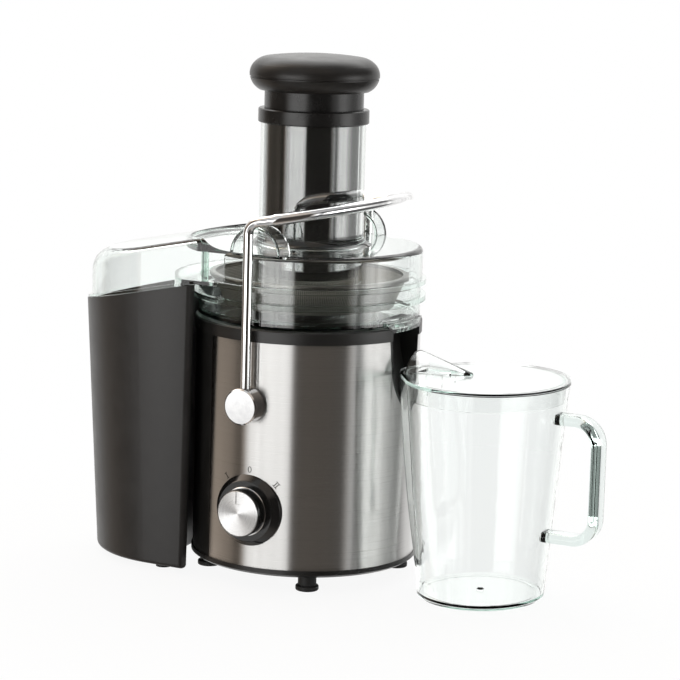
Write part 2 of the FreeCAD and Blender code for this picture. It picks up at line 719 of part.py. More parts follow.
def lid():
    """Clear lid in one moulding: round cover, feed chute, pulp cover and two lugs."""
    drum = disc(LID_R, LID_FLANGE_TOP_Z - 1, LID_TOP_Z)
    drum = drum.makeFillet(LID_EDGE_R, [e for e in drum.Edges if e.BoundBox.ZMin > LID_TOP_Z - 0.1])
    flange = disc(LID_FLANGE_R, LID_Z, LID_FLANGE_TOP_Z)
    chute = disc(CHUTE_R, LID_TOP_Z - 1, CHUTE_TOP_Z)
    foot = hollow_foot(CHUTE_FOOT_R, CHUTE_R + CHUTE_FOOT_R, CHUTE_R)
    lug = lid_lug()
    outside = drum.fuse([flange, cover_outside(), chute, foot, lug, to_rear(lug)])
    room = disc(LID_R - CLEAR_T, LID_Z - 1, LID_TOP_Z - CLEAR_T)
    hollow = room.fuse(cover_block(cover_full(CLEAR_T), CLEAR_T, STEP_R + STEP_WALL))
    inner_chute = disc(CHUTE_R, CHUTE_BOTTOM_Z, LID_TOP_Z - 1)
    rib = cover_rib()
    body = outside.cut(hollow).fuse([inner_chute, rib, to_rear(rib)])
    return body.cut(disc(CHUTE_BORE_R, CHUTE_BOTTOM_Z - 1, CHUTE_TOP_Z + 1)).removeSplitter()


def bin_outline(end, inset, z):
    """Plan of the pulp bin at its bottom (end 0) or top (end 1)."""
    half = BIN_HALF[end] - inset
    end_x = BIN_END_X[end]
    hollow_r = BIN_HOLLOW_R[end] + inset
    round_r = BIN_CORNER_R - inset
    tip_y = half - round_r
    tip_x = -math.sqrt((hollow_r + round_r) ** 2 - tip_y ** 2)
    inward = V(-tip_x, -tip_y, 0).normalize()
    nose = (inward + V(0, 1, 0)).normalize()
    meet = V(tip_x, tip_y, z) + inward * round_r
    nose_at = V(tip_x, tip_y, z) + nose * round_r
    edges = [
        Part.LineSegment(V(tip_x, -half, z), V(end_x, -half, z)).toShape(),
        Part.Arc(V(end_x, -half, z), V(end_x - half, 0, z), V(end_x, half, z)).toShape(),
        Part.LineSegment(V(end_x, half, z), V(tip_x, half, z)).toShape(),
        Part.Arc(V(tip_x, half, z), nose_at, meet).toShape(),
        Part.Arc(meet, V(-hollow_r, 0, z), V(meet.x, -meet.y, z)).toShape(),
        Part.Arc(V(meet.x, -meet.y, z), V(nose_at.x, -nose_at.y, z), V(tip_x, -half, z)).toShape(),
    ]
    return Part.Wire(edges)


def bin_block(inset, bottom_z):
    return Part.makeLoft([bin_outline(0, inset, bottom_z), bin_outline(1, inset, BIN_TOP_Z)], True, True)


def pulp_bin():
    outside = bin_block(0, BIN_BOTTOM_Z)
    outside = outside.makeFillet(3.0, [e for e in outside.Edges if e.BoundBox.ZMax < BIN_BOTTOM_Z + 0.1])
    inside = bin_block(BIN_WALL, BIN_BOTTOM_Z + BIN_FLOOR)
    vessel = outside.cut(inside).common(below_slope(0))
    return vessel.cut(disc(LIP_R + 1.6, LID_Z - 0.6, 300))


def bin_feet():
    return Part.makeCompound([disc(BIN_FOOT_R, 0, BIN_BOTTOM_Z, x, y) for x, y in BIN_FEET])


# Pusher

def pusher_tube():
    low = PUSHER_BOTTOM_Z
    high = COLLAR_Z[0]
    inner = PUSHER_R - PUSHER_WALL
    return lathe([(0, low), (PUSHER_R - 1.5, low), (PUSHER_R, low + 1.5), (PUSHER_R, high), (inner, high),
                  (inner, low + PUSHER_WALL), (0, low + PUSHER_WALL)])


def pusher_collar():
    low, high = COLLAR_Z
    return lathe([(0, low), (COLLAR_R - 0.6, low), (COLLAR_R, low + 0.6), (COLLAR_R, high - 0.8),
                  (COLLAR_R - 0.8, high), (NECK_R, high), (NECK_R, NECK_TOP_Z), (0, NECK_TOP_Z)])


def arc_profile(points, arcs):
    """Half profile from (radius, height) corners; arcs maps a corner's index to the arc's middle point."""
    corners = [V(r, 0, z) for r, z in points]
    edges = []
    for index, start in enumerate(corners):
        end = corners[(index + 1) % len(corners)]
        if index in arcs:
            middle = V(arcs[index][0], 0, arcs[index][1])
            edges.append(Part.Arc(start, middle, end).toShape())
        else:
            edges.append(Part.LineSegment(start, end).toShape())
    return Part.Face(Part.Wire(edges)).revolve(V(0, 0, 0), UP, 360)


def pusher_cap_lower():
    seam = KNOB_SEAM_Z - 0.4
    return arc_profile([(0, NECK_TOP_Z), (NECK_R + 4, NECK_TOP_Z), (KNOB_SEAM_R - 0.4, seam), (0, seam)],
                       {1: (KNOB_SEAM_R - 3.2, NECK_TOP_Z + 3.4)})


def pusher_cap_top():
    """Domed cap in three blended arcs."""
    seam = KNOB_SEAM_Z - 0.4
    flat_r = 2.0
    groove_r = KNOB_SEAM_R - 0.9
    side, edge, round_mid, dome, dome_mid = KNOB_SHOULDER
    return arc_profile([(0, seam), (groove_r, seam), (groove_r, KNOB_SEAM_Z + 0.4),
                        (KNOB_SEAM_R, KNOB_SEAM_Z + 0.8), edge, dome, (flat_r, KNOB_TOP_Z), (0, KNOB_TOP_Z)],
                       {3: side, 4: round_mid, 5: dome_mid})


# Filter basket and drive

def basket_rim():
    low, high = BASKET_RIM_Z
    return lathe([(CONE_TOP_R + 0.4, low), (BASKET_RIM_R - 0.8, low), (BASKET_RIM_R, low + 0.8),
                  (BASKET_RIM_R, high - 0.8), (BASKET_RIM_R - 0.8, high), (CONE_TOP_R - 2, high),
                  (CONE_TOP_R - 2, high - 1), (CONE_TOP_R + 0.4, high - 1)])


def basket_cone():
    """Mesh wall of the basket, as a thin cone."""
    top = BASKET_RIM_Z[1] - 1
    return lathe([(CONE_BOTTOM_R - CONE_T, CONE_BOTTOM_Z), (CONE_BOTTOM_R, CONE_BOTTOM_Z),
                  (CONE_TOP_R, BASKET_RIM_Z[0]), (CONE_TOP_R, top), (CONE_TOP_R - CONE_T, top),
                  (CONE_TOP_R - CONE_T, BASKET_RIM_Z[0] + 0.2)])


def grater_disc():
    """Grating floor of the basket, with rows of small teeth."""
    floor = CONE_BOTTOM_Z
    plate = tube(CONE_BOTTOM_R - CONE_T, GRATER_HOLE_R, floor, floor + GRATER_T)
    teeth = []
    for row in range(TEETH_RINGS):
        radius = TEETH_FIRST_R + row * TEETH_STEP
        lean = row * 360.0 / TEETH_PER_RING / 3
        tooth = Part.makeCone(1.7, 0.3, 2.4, V(radius, 0, floor + GRATER_T - 0.2), UP)
        teeth += around(tooth, TEETH_PER_RING, lean)
    return plate.fuse(teeth)


def basket_hub():
    top = CONE_BOTTOM_Z
    bore = SHAFT_R + 5
    low_r, high_r = BASKET_HUB_R
    return lathe([(bore, top - 6), (low_r, top - 6), (high_r, top), (GRATER_HOLE_R, top),
                  (GRATER_HOLE_R, top - 1), (bore, top - 1)])


def drive_coupling():
    """Hexagonal dog on the end of the motor shaft, that drives the basket."""
    shoulder = CONE_BOTTOM_Z - COUPLING_DROP
    corners = [axis_turn(60 * k + 30) * COUPLING_R for k in range(6)]
    dog = face_of([(c.x, c.y, shoulder) for c in corners]).extrude(V(0, 0, COUPLING_H))
    foot = disc(COUPLING_FOOT_R, shoulder - 2.6, shoulder)
    return dog.fuse(foot).removeSplitter().cut(disc(SHAFT_R, shoulder - 4, SHAFT_Z[1]))


def shaft_seal():
    """Rubber lip seal in the middle of the deck."""
    hub = HUB_HOLE_R - 4
    lip = SHAFT_R + 0.1
    return lathe([(lip, DECK_Z - 1), (hub, DECK_Z - 1), (hub, DECK_Z + 3), (SHAFT_R + 6, DECK_Z + 3),
                  (lip, DECK_Z + 7)])


def motor_shaft():
    return disc(SHAFT_R, SHAFT_Z[0], SHAFT_Z[1])


def cooling_fan():
    low, high = FAN_Z
    hub = tube(12, SHAFT_R, low, high)
    plate = tube(FAN_R, SHAFT_R, high - 2, high)
    blade = box(11, FAN_R - 1, -0.9, 0.9, low + 1, high - 1.5)
    blade.rotate(V(11, 0, 0), UP, 25)
    return hub.fuse([plate] + around(blade, FAN_BLADES)).removeSplitter()


def armature():
    """Slotted rotor stack."""
    stack = tube(ARMATURE_R, SHAFT_R, STATOR_Z[0] + 2, STATOR_Z[1] - 2)
    slot = box(ARMATURE_R - 7, ARMATURE_R + 2, -1.2, 1.2, STATOR_Z[0], STATOR_Z[1])
    for one in around(slot, ARMATURE_SLOTS):
        stack = stack.cut(one)
    return stack


def commutator():
    low, high = COMMUTATOR_Z
    return tube(COMMUTATOR_R, SHAFT_R, low, high)


def motor_stator():
    """Laminated stack with a round bore and two pole gaps for the coils."""
    low, high = STATOR_Z
    half_x, half_y = STATOR_HALF
    stack = box(-half_x, half_x, -half_y, half_y, low, high)
    upright = [e for e in stack.Edges if e.BoundBox.ZLength > 10]
    stack = stack.makeFillet(12, upright).cut(disc(STATOR_BORE_R, low - 1, high + 1))
    near, far, half = POLE_GAP
    gap = box(near, far, -half, half, low - 1, high + 1).cut(disc(STATOR_BORE_R + 4, low - 2, high + 2))
    for one in around(gap, 2):
        stack = stack.cut(one)
    return stack


def field_coils():
    """Two wound coils that loop through the pole gaps and over both ends of the stack."""
    low, high = STATOR_Z
    inner, outer = COIL_R
    ring = tube(outer, inner, low - COIL_OVER, high + COIL_OVER)
    keep = box(POLE_GAP[0] + 1, 60, -COIL_HALF, COIL_HALF, low - 8, high + 8)
    return Part.makeCompound(around(ring.common(keep), 2))


def bracket(z0, z1):
    """Cross bar with a bearing seat."""
    half_x, half_y = BRACKET_HALF
    bar = box(-half_x, half_x, -half_y, half_y, z0, z1)
    bar = bar.makeFillet(8, [e for e in bar.Edges if e.BoundBox.ZLength > z1 - z0 - 0.1])
    bar = bar.fuse(disc(BRACKET_SEAT_R, z0, z1)).removeSplitter()
    bar = bar.cut(disc(BEARING_R, z0 + BEARING_SEAT, z1 + 1)).cut(disc(SHAFT_R + 2, z0 - 1, z1 + 1))
    for x in (-POST_X, POST_X):
        bar = bar.cut(disc(POST_R[1], z0 - 1, z1 + 1, x, 0))
    return bar


def bearing(bracket_z):
    """Ball bearing in the seat of a bracket, with its ring groove."""
    z0 = bracket_z[0] + BEARING_SEAT
    z1 = bracket_z[1] - 0.5
    ring = tube(BEARING_R, SHAFT_R + PIN_GAP, z0, z1)
    groove = tube(BEARING_R - 3, SHAFT_R + 2.5, z1 - 0.6, z1 + 1)
    return ring.cut(groove)


def brush_holders():
    low, high = COMMUTATOR_Z
    middle = (low + high) / 2
    holder = box(COMMUTATOR_R + 1, 42, -5, 5, middle - 6, middle + 6)
    leg = box(28, 40, -5, 5, LOWER_BRACKET_Z[1], middle)
    one = holder.fuse(leg).removeSplitter().cut(disc(COMMUTATOR_R + GAP, low - 1, high + 1))
    return Part.makeCompound(around(one, 2))


def motor_mounts():
    """Rubber-bushed posts that carry the lower bracket, the stack and the upper bracket."""
    wide, slim = POST_R
    foot = disc(wide, PLATE_FLOOR_Z, LOWER_BRACKET_Z[0], POST_X, 0)
    stud = disc(slim, LOWER_BRACKET_Z[0], UPPER_BRACKET_Z[1] + 2, POST_X, 0)
    return Part.makeCompound(around(foot.fuse(stud).removeSplitter(), 2))


# Juice jug

def jug_outline(radius, reach, tip_r, inset, z):
    """Round plan with a broad beak towards the base."""
    radius -= inset
    reach -= inset
    tip_r -= inset
    tip_x = reach - tip_r
    cos_t = (radius - tip_r) / tip_x
    sin_t = math.sqrt(1 - cos_t ** 2)
    round_a = V(JUG_X - radius * cos_t, radius * sin_t, z)
    round_b = V(JUG_X - radius * cos_t, -radius * sin_t, z)
    beak_a = V(JUG_X - tip_x - tip_r * cos_t, tip_r * sin_t, z)
    beak_b = V(JUG_X - tip_x - tip_r * cos_t, -tip_r * sin_t, z)
    edges = [
        Part.Arc(round_a, V(JUG_X + radius, 0, z), round_b).toShape(),
        Part.LineSegment(round_b, beak_b).toShape(),
        Part.Arc(beak_b, V(JUG_X - reach, 0, z), beak_a).toShape(),
        Part.LineSegment(beak_a, round_a).toShape(),
    ]
    return Part.Wire(edges)


def deepened(shape):
    """Jug piece stretched from front to back."""
    stretch = FreeCAD.Matrix()
    stretch.scale(1, JUG_DEPTH, 1)
    return shape.transformGeometry(stretch)


def jug_block(inset):
    wires = [jug_outline(r, reach, tip, inset, z) for z, r, reach, tip in JUG_SECTIONS]
    return deepened(Part.makeLoft(wires, True, False))


def jug_handle():
    """Handle opposite the beak, bent in one sweep from rim to foot."""
    root_x = JUG_X + HANDLE_ROOT
    outer_x = JUG_X + JUG_SECTIONS[-1][1] + HANDLE_REACH - HANDLE_SIZE[1] / 2
    r = HANDLE_CORNER_R
    half = r * (1 - math.sqrt(0.5))
    high = HANDLE_TOP_Z
    low = HANDLE_BOTTOM_Z
    edges = [
        Part.LineSegment(V(root_x, 0, high), V(outer_x - r, 0, high)).toShape(),
        Part.Arc(V(outer_x - r, 0, high), V(outer_x - half, 0, high - half),
                 V(outer_x, 0, high - r)).toShape(),
        Part.LineSegment(V(outer_x, 0, high - r), V(outer_x, 0, low + r)).toShape(),
        Part.Arc(V(outer_x, 0, low + r), V(outer_x - half, 0, low + half),
                 V(outer_x - r, 0, low)).toShape(),
        Part.LineSegment(V(outer_x - r, 0, low), V(root_x, 0, low)).toShape(),
    ]
    half_wide, half_thick = HANDLE_SIZE[0] / 2, HANDLE_SIZE[1] / 2
    flat = half_wide - half_thick
    corners = [V(root_x, y, z) for y, z in ((-flat, high + half_thick), (flat, high + half_thick),
                                            (flat, high - half_thick), (-flat, high - half_thick))]
    rounded = [
        Part.LineSegment(corners[0], corners[1]).toShape(),
        Part.Arc(corners[1], V(root_x, half_wide, high), corners[2]).toShape(),
        Part.LineSegment(corners[2], corners[3]).toShape(),
        Part.Arc(corners[3], V(root_x, -half_wide, high), corners[0]).toShape(),
    ]
    return sweep(Part.Wire(edges), Part.Wire(rounded))


def jug_body():
    z, r, reach, tip = JUG_SECTIONS[0]
    foot_wires = [jug_outline(r, reach, tip, JUG_BEVEL, 0), jug_outline(r, reach, tip, 0, z)]
    bevel = deepened(Part.makeLoft(foot_wires, True, True))
    outside = jug_block(0).fuse([bevel, jug_handle()])
    inside = jug_block(JUG_WALL).cut(box(0, 400, -200, 200, -10, JUG_FLOOR))
    recess = Part.Face(jug_outline(r, reach, tip, JUG_RECESS[0], 0)).extrude(V(0, 0, JUG_RECESS[1]))
    vessel = outside.cut(inside).cut(deepened(recess))
    nub = Part.makeCone(*JUG_NUB, V(JUG_X, 0, JUG_FLOOR - 0.2), UP)
    return vessel.fuse(nub).removeSplitter()


def hood_wire(x, half, rise, z):
    edges = [
        Part.Arc(V(x, -half, z), V(x, 0, z + rise), V(x, half, z)).toShape(),
        Part.LineSegment(V(x, half, z), V(x, -half, z)).toShape(),
    ]
    return Part.Wire(edges)


def hood_block(inset, floor_z):
    """Half cone, wide at its mouth and tapering to the middle of the lid."""
    mouth = hood_wire(HOOD_MOUTH_X - inset, HOOD_HALF - inset, HOOD_RISE - inset, floor_z)
    tip = hood_wire(HOOD_TIP_X - 3 * inset, 3.0 - inset / 2, 2.4 - inset / 2, floor_z)
    return Part.makeLoft([mouth, tip], True, True)


def lid_slice(inset, z, height):
    """Upright slice of the plan of the jug's rim."""
    top, radius, reach, tip = JUG_SECTIONS[-1]
    return deepened(Part.Face(jug_outline(radius, reach, tip, inset, z)).extrude(V(0, 0, height)))


def jug_lid():
    """Clear lid with a hood over the inlet and a skirt inside the rim."""
    low = JUG_HEIGHT + JUG_LID_LIFT
    top = low + JUG_LID_T
    reach = JUG_SECTIONS[-1][2]
    plate = lid_slice(-0.6, low, JUG_LID_T)
    skirt = lid_slice(JUG_SKIRT_IN, low - JUG_LID_SKIRT, JUG_LID_SKIRT)
    core = lid_slice(JUG_SKIRT_IN + JUG_SKIRT_T, low - JUG_LID_SKIRT, JUG_LID_SKIRT)
    ribs = []
    near = JUG_X - reach + 12
    far = near + 24
    for y in (-JUG_RIB_Y - JUG_RIB_T / 2, JUG_RIB_Y - JUG_RIB_T / 2):
        rib = face_of([(near, y, low), (far, y, low), (far, y, low - 9), (near, y, low - 19)])
        ribs.append(rib.extrude(V(0, JUG_RIB_T, 0)))
    body = plate.fuse([skirt.cut(core), hood_block(0, top - 0.2)] + ribs).removeSplitter()
    inlet = hood_block(HOOD_T, top - 0.2)
    hole = box(HOOD_MOUTH_X + 4, HOOD_TIP_X - 14, -9, 9, low - 1, top + 1)
    return body.cut(inlet).cut(hole)


def nodes():
    """Every piece of the juicer by its name."""
    rod = bail_rod()
    cap = bail_cap(rod)
    return {
        "base_plate": base_plate(),
        "feet": feet(),
        "base_screws": base_screws(),
        "housing_shell": housing_shell(),
        "steel_wrap": steel_wrap(),
        "top_deck": top_deck(),
        "spout_scoop": spout_scoop(),
        "cord_gland": cord_gland(),
        "dial_bezel": dial_bezel(),
        "dial_knob": dial_knob(),
        "dial_ring": dial_ring(),
        "dial_cap": dial_cap(),
        "dial_shaft": dial_shaft(),
        "speed_switch": speed_switch(),
        "bail_rod": rod,
        "bail_grip": bail_grip(rod),
        "bail_cap_front": cap,
        "bail_cap_rear": to_rear(cap),
        "pivot_pin_front": pivot_pin(),
        "pivot_pin_rear": to_rear(pivot_pin()),
        "pivot_bush_front": pivot_bush(),
        "pivot_bush_rear": to_rear(pivot_bush()),
        "interlock_cam": interlock_cam(),
        "interlock_switch": interlock_switch(),
        "juice_bowl": juice_bowl(),
        "lid": lid(),
        "pulp_bin": pulp_bin(),
        "bin_feet": bin_feet(),
        "pusher_tube": pusher_tube(),
        "pusher_collar": pusher_collar(),
        "pusher_cap_lower": pusher_cap_lower(),
        "pusher_cap_top": pusher_cap_top(),
        "basket_rim": basket_rim(),
        "basket_cone": basket_cone(),
        "grater_disc": grater_disc(),
        "basket_hub": basket_hub(),
        "drive_coupling": drive_coupling(),
        "shaft_seal": shaft_seal(),
        "motor_shaft": motor_shaft(),
        "cooling_fan": cooling_fan(),
        "armature": armature(),
        "commutator": commutator(),
        "motor_stator": motor_stator(),
        "field_coils": field_coils(),
        "motor_bracket_lower": bracket(*LOWER_BRACKET_Z),
        "motor_bracket_upper": bracket(*UPPER_BRACKET_Z),
        "bearing_lower": bearing(LOWER_BRACKET_Z),
        "bearing_upper": bearing(UPPER_BRACKET_Z),
        "brush_holders": brush_holders(),
        "motor_mounts": motor_mounts(),
        "jug_body": jug_body(),
        "jug_lid": jug_lid(),
    }


def main():
    os.makedirs("parts", exist_ok=True)
    pieces = nodes()
    low = pieces["pulp_bin"].optimalBoundingBox().XMin
    high = pieces["jug_body"].optimalBoundingBox().XMax
    shift = V(-(low + high) / 2, 0, 0)
    print("spindle is at x = %.2f mm" % shift.x)
    for name, shape in pieces.items():
        shape.translate(shift)
        if not shape.isValid():
            print("not valid:", name)
        shape.exportStep(os.path.join("parts", name + ".step"))
        size = shape.optimalBoundingBox()
        print("%-20s solids %2d  volume %9.0f" % (name, len(shape.Solids), shape.Volume), end="")
        print("  x %7.1f %7.1f  y %7.1f %7.1f" % (size.XMin, size.XMax, size.YMin, size.YMax), end="")
        print("  z %6.1f %6.1f" % (size.ZMin, size.ZMax))


main()
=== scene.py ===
"""Looks of a centrifugal juicer: materials, printed marks, light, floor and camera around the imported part."""
import bpy
import json
import math
from mathutils import Matrix, Vector


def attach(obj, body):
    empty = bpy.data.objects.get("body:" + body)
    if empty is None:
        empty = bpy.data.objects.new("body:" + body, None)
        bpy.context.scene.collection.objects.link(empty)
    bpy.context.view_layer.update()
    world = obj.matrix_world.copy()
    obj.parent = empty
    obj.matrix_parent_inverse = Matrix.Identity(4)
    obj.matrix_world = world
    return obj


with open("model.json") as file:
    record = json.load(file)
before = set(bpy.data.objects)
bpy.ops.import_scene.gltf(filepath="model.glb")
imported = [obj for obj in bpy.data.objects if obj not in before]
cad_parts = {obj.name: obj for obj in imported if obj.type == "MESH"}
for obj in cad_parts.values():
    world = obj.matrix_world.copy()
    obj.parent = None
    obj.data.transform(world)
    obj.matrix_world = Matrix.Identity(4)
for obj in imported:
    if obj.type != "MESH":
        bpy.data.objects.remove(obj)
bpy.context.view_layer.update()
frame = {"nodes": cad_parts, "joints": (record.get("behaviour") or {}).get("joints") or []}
NODES = frame["nodes"]

# Places on the part, in metres
MM = 0.001
JOINT_AT = {joint["name"]: joint.get("pos_m") for joint in frame["joints"]}
SPINDLE_X = JOINT_AT["basket_spin"][0]
DIAL_Z = JOINT_AT["dial_turn"][2]
BODY_R = 0.085                       # outside of the steel wrap
CROWN_X = SPINDLE_X - 0.100          # the bin's flat sides begin here, at its round end
CROWN_R = 0.120                      # they are shaded as if they were bent to this radius
RIB_X = SPINDLE_X - 0.0446           # upright rib in the lid's pulp cover, painted dark green as tint and shade of a wall seen edge-on
RIB_HALF = 0.0023
RIB_Y = 0.074                        # the rib lies further out than this

# Patterns of the materials, in cycles per metre, and their depths in millimetres
PATTERN = (0.3, 0.7)                 # most of a noise pattern lies between these levels
CLOUD = 70.0                         # uneven colour of moulded plastic
STAIN = 300.0                        # uneven colour of bare metal
WIPE = 220.0                         # wiping marks on chrome
BLOT = 900.0                         # uneven ink
BRUSHING = (7.0, 7.0, 5200.0)        # long strokes round the body, in fine rows
BRUSHING_SPAN = (0.34, 0.66)
BRUSHING_DEPTH = 0.0004
LATHE_RINGS = 3800.0
LATHE_DEPTH = 0.01
WAVE = 26.0                          # slow waves in clear plastic
WAVE_DEPTH = 0.004
SIEVE_COLUMNS = 52.0                 # holes per radian round the basket
SIEVE_ROWS = 900.0
SIEVE_UNEVEN = 0.15
HOLE_EDGE = (0.24, 0.38)             # from a hole's middle, in steps from hole to hole
HOLE_DEPTH = 0.1

# Colours and roughness of the materials that have a function of their own
STEEL_COLOURS = ((0.55, 0.545, 0.535), (0.59, 0.586, 0.577))
STEEL_ROUGH = (0.272, 0.288)
CAP_COLOURS = ((0.70, 0.70, 0.70), (0.80, 0.80, 0.80))
CAP_ROUGH = (0.24, 0.34)
CAP_ANISOTROPY = 0.85
SIEVE_COLOURS = ((0.020, 0.019, 0.018), (0.36, 0.34, 0.31))    # of a hole, and of the sheet
SIEVE_ROUGH = (0.6, 0.38)
INK_COLOURS = ((0.020, 0.019, 0.018), (0.032, 0.030, 0.028))
INK_ROUGH = 0.45
CLEAR_COLOUR = (0.998, 1.0, 0.999)
# painted on the lid's rib: dark green tint and shade, as of a wall seen edge-on
RIB_TINT_AND_SHADE = (0.40, 0.52, 0.46)
CLEAR_TINT = (0.38, 0.72, 0.58)      # colour of thick edges
JUG_TINT = (0.42, 0.66, 0.58)
CLEAR_SHADOW = (0.93, 0.96, 0.945)   # share of the light that passes a wall
CLEAR_ROUGH = (0.010, 0.022)
PLASTIC_IOR = 1.5
COAT_ROUGH = 0.08
QUARTER_TURN = 0.25                  # of the direction that anisotropic shine runs in

# Printed marks round the dial: off, low and high
INK_IN = 0.10 * MM                   # ink reaches this far into the steel, and stands this far off it
INK_OUT = 0.05 * MM
MARK_H = 4.7 * MM
MARK_CIRCLE = 30.7 * MM              # from the dial's axis to a mark's middle
MARK_STROKE = 0.75 * MM
MARK_GAP = 1.7 * MM                  # between the two strokes of the high mark
SERIF = 1.25 * MM                    # half length of a serif
SERIF_T = 0.45 * MM
ZERO_HALF_X = 1.6 * MM
ZERO_THIN = 0.6                      # share of the stroke that is left at top and bottom of the zero
MARK_TURNS = {"mark_off": 1.5, "mark_low": -41.0, "mark_high": 46.5}    # degrees from straight up

# Camera, as fitted to the photograph
CAMERA_AT = (0.9107, -1.6903, 0.505)
CAMERA_TURN = math.radians(28.4)     # from the front towards the jug
CAMERA_PITCH = math.radians(9.64)
CAMERA_ROLL = math.radians(1.55)
CAMERA_LENS = 136.9                  # millimetres, as the sensor's width
CAMERA_SENSOR = 36.0
CAMERA_REACH = 20.0

# Floor
FLOOR_REACH = 3.0
FLOOR_COLOUR = (0.85, 0.85, 0.85)
FLOOR_GLOW = (0.92, 1.0)             # white share of the floor under the object and far from it
FLOOR_FADE = (0.26, 0.50)            # from one to the other, in metres from the middle

# Light round the object: degrees from the camera's side towards the jug, and strength.
# Panels stand about eye level, walls fill the rest, and tops are the ceiling.
PANELS = (
    (-180, 1.00), (-128, 1.00), (-116, 0.18), (-104, 0.16), (-92, 0.16), (-80, 0.26), (-74, 0.12),
    (-67.5, 0.16), (-62, 1.7), (-56, 2.9), (-50, 4.05), (-18.5, 4.05), (-13.5, 0.12), (-8, 0.05),
    (40, 0.05), (45, 0.90), (49, 1.7), (54, 0.42), (57, 1.6), (62, 3.7), (78, 3.8),
    (88, 2.4), (96, 1.1), (108, 0.8), (118, 0.8), (121, 1.3), (124, 1.0), (180, 1.00),
)
WALLS = (
    (-180, 1.40), (-140, 1.00), (-126, 0.80), (-104, 0.66), (-94, 0.38), (-82, 0.20), (-76, 0.08),
    (-70, 0.03), (-64, 0.08), (-60.5, 1.00), (-56.5, 1.00), (-53, 0.34), (-22, 0.36), (-17, 0.95),
    (-12.5, 0.10), (-8, 0.07), (40, 0.07), (45, 0.26), (49, 0.34), (54, 0.02), (58, 0.04), (63, 0.20),
    (72, 0.03), (93, 0.12), (106, 0.12), (114, 0.12), (124, 0.15), (131, 0.80), (140, 1.00), (180, 1.40),
)
TOPS = (
    (-180, 3.3), (-118, 2.7), (-84, 0.60), (0, 0.60), (60, 0.50), (95, 0.40), (121, 0.80), (134, 2.6),
    (180, 3.3),
)
# Share of the warm colour, by the same degrees
WARMTH = (
    (-180, 0), (-128, 0), (-116, 1), (-66, 1), (-61, 0), (-16, 0), (-10, 0.7), (38, 0.7), (48, 0), (180, 0),
)
FULL_TURN = 360.0
LIGHT_PEAK = 4.8                     # no strength is above this
PANEL_LOW = (-11.8, -9.2)            # degrees above the horizon, where one light fades into the next
PANEL_HIGH = (5, 14)
CEILING = (24, 40)
UNDER = (-60, -36)
UNDER_LEVEL = 0.45
STREAKS = 75.0                       # faint uneven strips round the studio
STREAK_DEPTH = 0.13
WARM_COLOUR = (1.0, 0.84, 0.70)
PANEL_COLOUR = (1.0, 0.995, 0.985)
WHITE = (1.0, 1.0, 1.0)
BOUNCED = 0.5                        # a ray's count of glossy bounces is above this after its first


# Node building

class Nodes:
    """The node tree of a material or world, emptied, and short calls for the nodes that go into it."""

    def __init__(self, owner):
        owner.use_nodes = True
        self.tree = owner.node_tree
        self.tree.nodes.clear()

    def fill(self, socket, value):
        """Feeds a socket: a constant of its own, another node's output, or a node for its first output."""
        if isinstance(value, bpy.types.Node):
            value = value.outputs[0]
        if isinstance(value, bpy.types.NodeSocket):
            self.tree.links.new(value, socket)
        elif socket.type == "RGBA":
            socket.default_value = (*value, 1.0)
        else:
            socket.default_value = value

    def new(self, kind, inputs=None, **settings):
        """A node with its settings, and what feeds its inputs, by their names or numbers."""
        node = self.tree.nodes.new("ShaderNode" + kind)
        for key, value in settings.items():
            setattr(node, key, value)
        for key, value in (inputs or {}).items():
            self.fill(node.inputs[key], value)
        return node

    def place(self):
        """Place on the object, in metres."""
        return self.new("TexCoord").outputs["Object"]

    def axes(self, vector):
        """The three numbers of a vector."""
        return self.new("SeparateXYZ", {0: vector}).outputs

    def math(self, operation, *values):
        """One step of arithmetic."""
        return self.new("Math", dict(enumerate(values)), operation=operation)

    def spread(self, source, low, high, span=PATTERN, smooth=False):
        """Maps the span of a pattern onto low to high."""
        limits = {"From Min": span[0], "From Max": span[1], "To Min": low, "To Max": high}
        kind = "SMOOTHSTEP" if smooth else "LINEAR"
        return self.new("MapRange", {"Value": source, **limits}, interpolation_type=kind)

    def colours(self, source, stops):
        """A ramp of colours, each with its place from 0 to 1."""
        node = self.new("ValToRGB", {"Fac": source})
        elements = node.color_ramp.elements
        while len(elements) < len(stops):
            elements.new(0.5)        # its own place follows
        for element, (place, colour) in zip(elements, stops):
            element.position = place
            element.color = (*colour, 1.0)
        return node

    def shade(self, source, dark, light, span=PATTERN):
        """Colours from dark to light over the span of a pattern."""
        return self.colours(source, list(zip(span, (dark, light))))

    def mix(self, share, first, second):
        """Moves from the first shader to the second with share."""
        return self.new("MixShader", {0: share, 1: first, 2: second})


class Shader(Nodes):
    """A new material with one Principled shader."""

    def __init__(self, name):
        self.material = bpy.data.materials.new(name)
        super().__init__(self.material)
        self.principled = self.new("BsdfPrincipled")
        self.out = self.new("OutputMaterial", {"Surface": self.principled})

    def set(self, **inputs):
        """Feeds the Principled shader; a name has _ where its socket's has a blank."""
        for key, value in inputs.items():
            self.fill(self.principled.inputs[key.replace("_", " ")], value)

    def pattern(self, vector, detail, rough):
        """Noise over a vector."""
        return self.new("TexNoise", {"Vector": vector, "Scale": 1.0, "Detail": detail, "Roughness": rough})

    def noise(self, scale, detail, rough=0.55):
        """Noise over the object, with one scale or a scale for each axis."""
        scales = scale if isinstance(scale, tuple) else (scale,) * 3
        return self.pattern(self.new("Mapping", {"Vector": self.place(), "Scale": scales}), detail, rough)

    def bump(self, height, depth, under=None):
        """The normal, bent by a pattern of a depth in millimetres, on top of what is bent already."""
        node = self.new("Bump", {"Height": height, "Strength": 1.0, "Distance": depth * MM})
        if under is not None:
            self.fill(node.inputs["Normal"], under)
        return node


# Materials

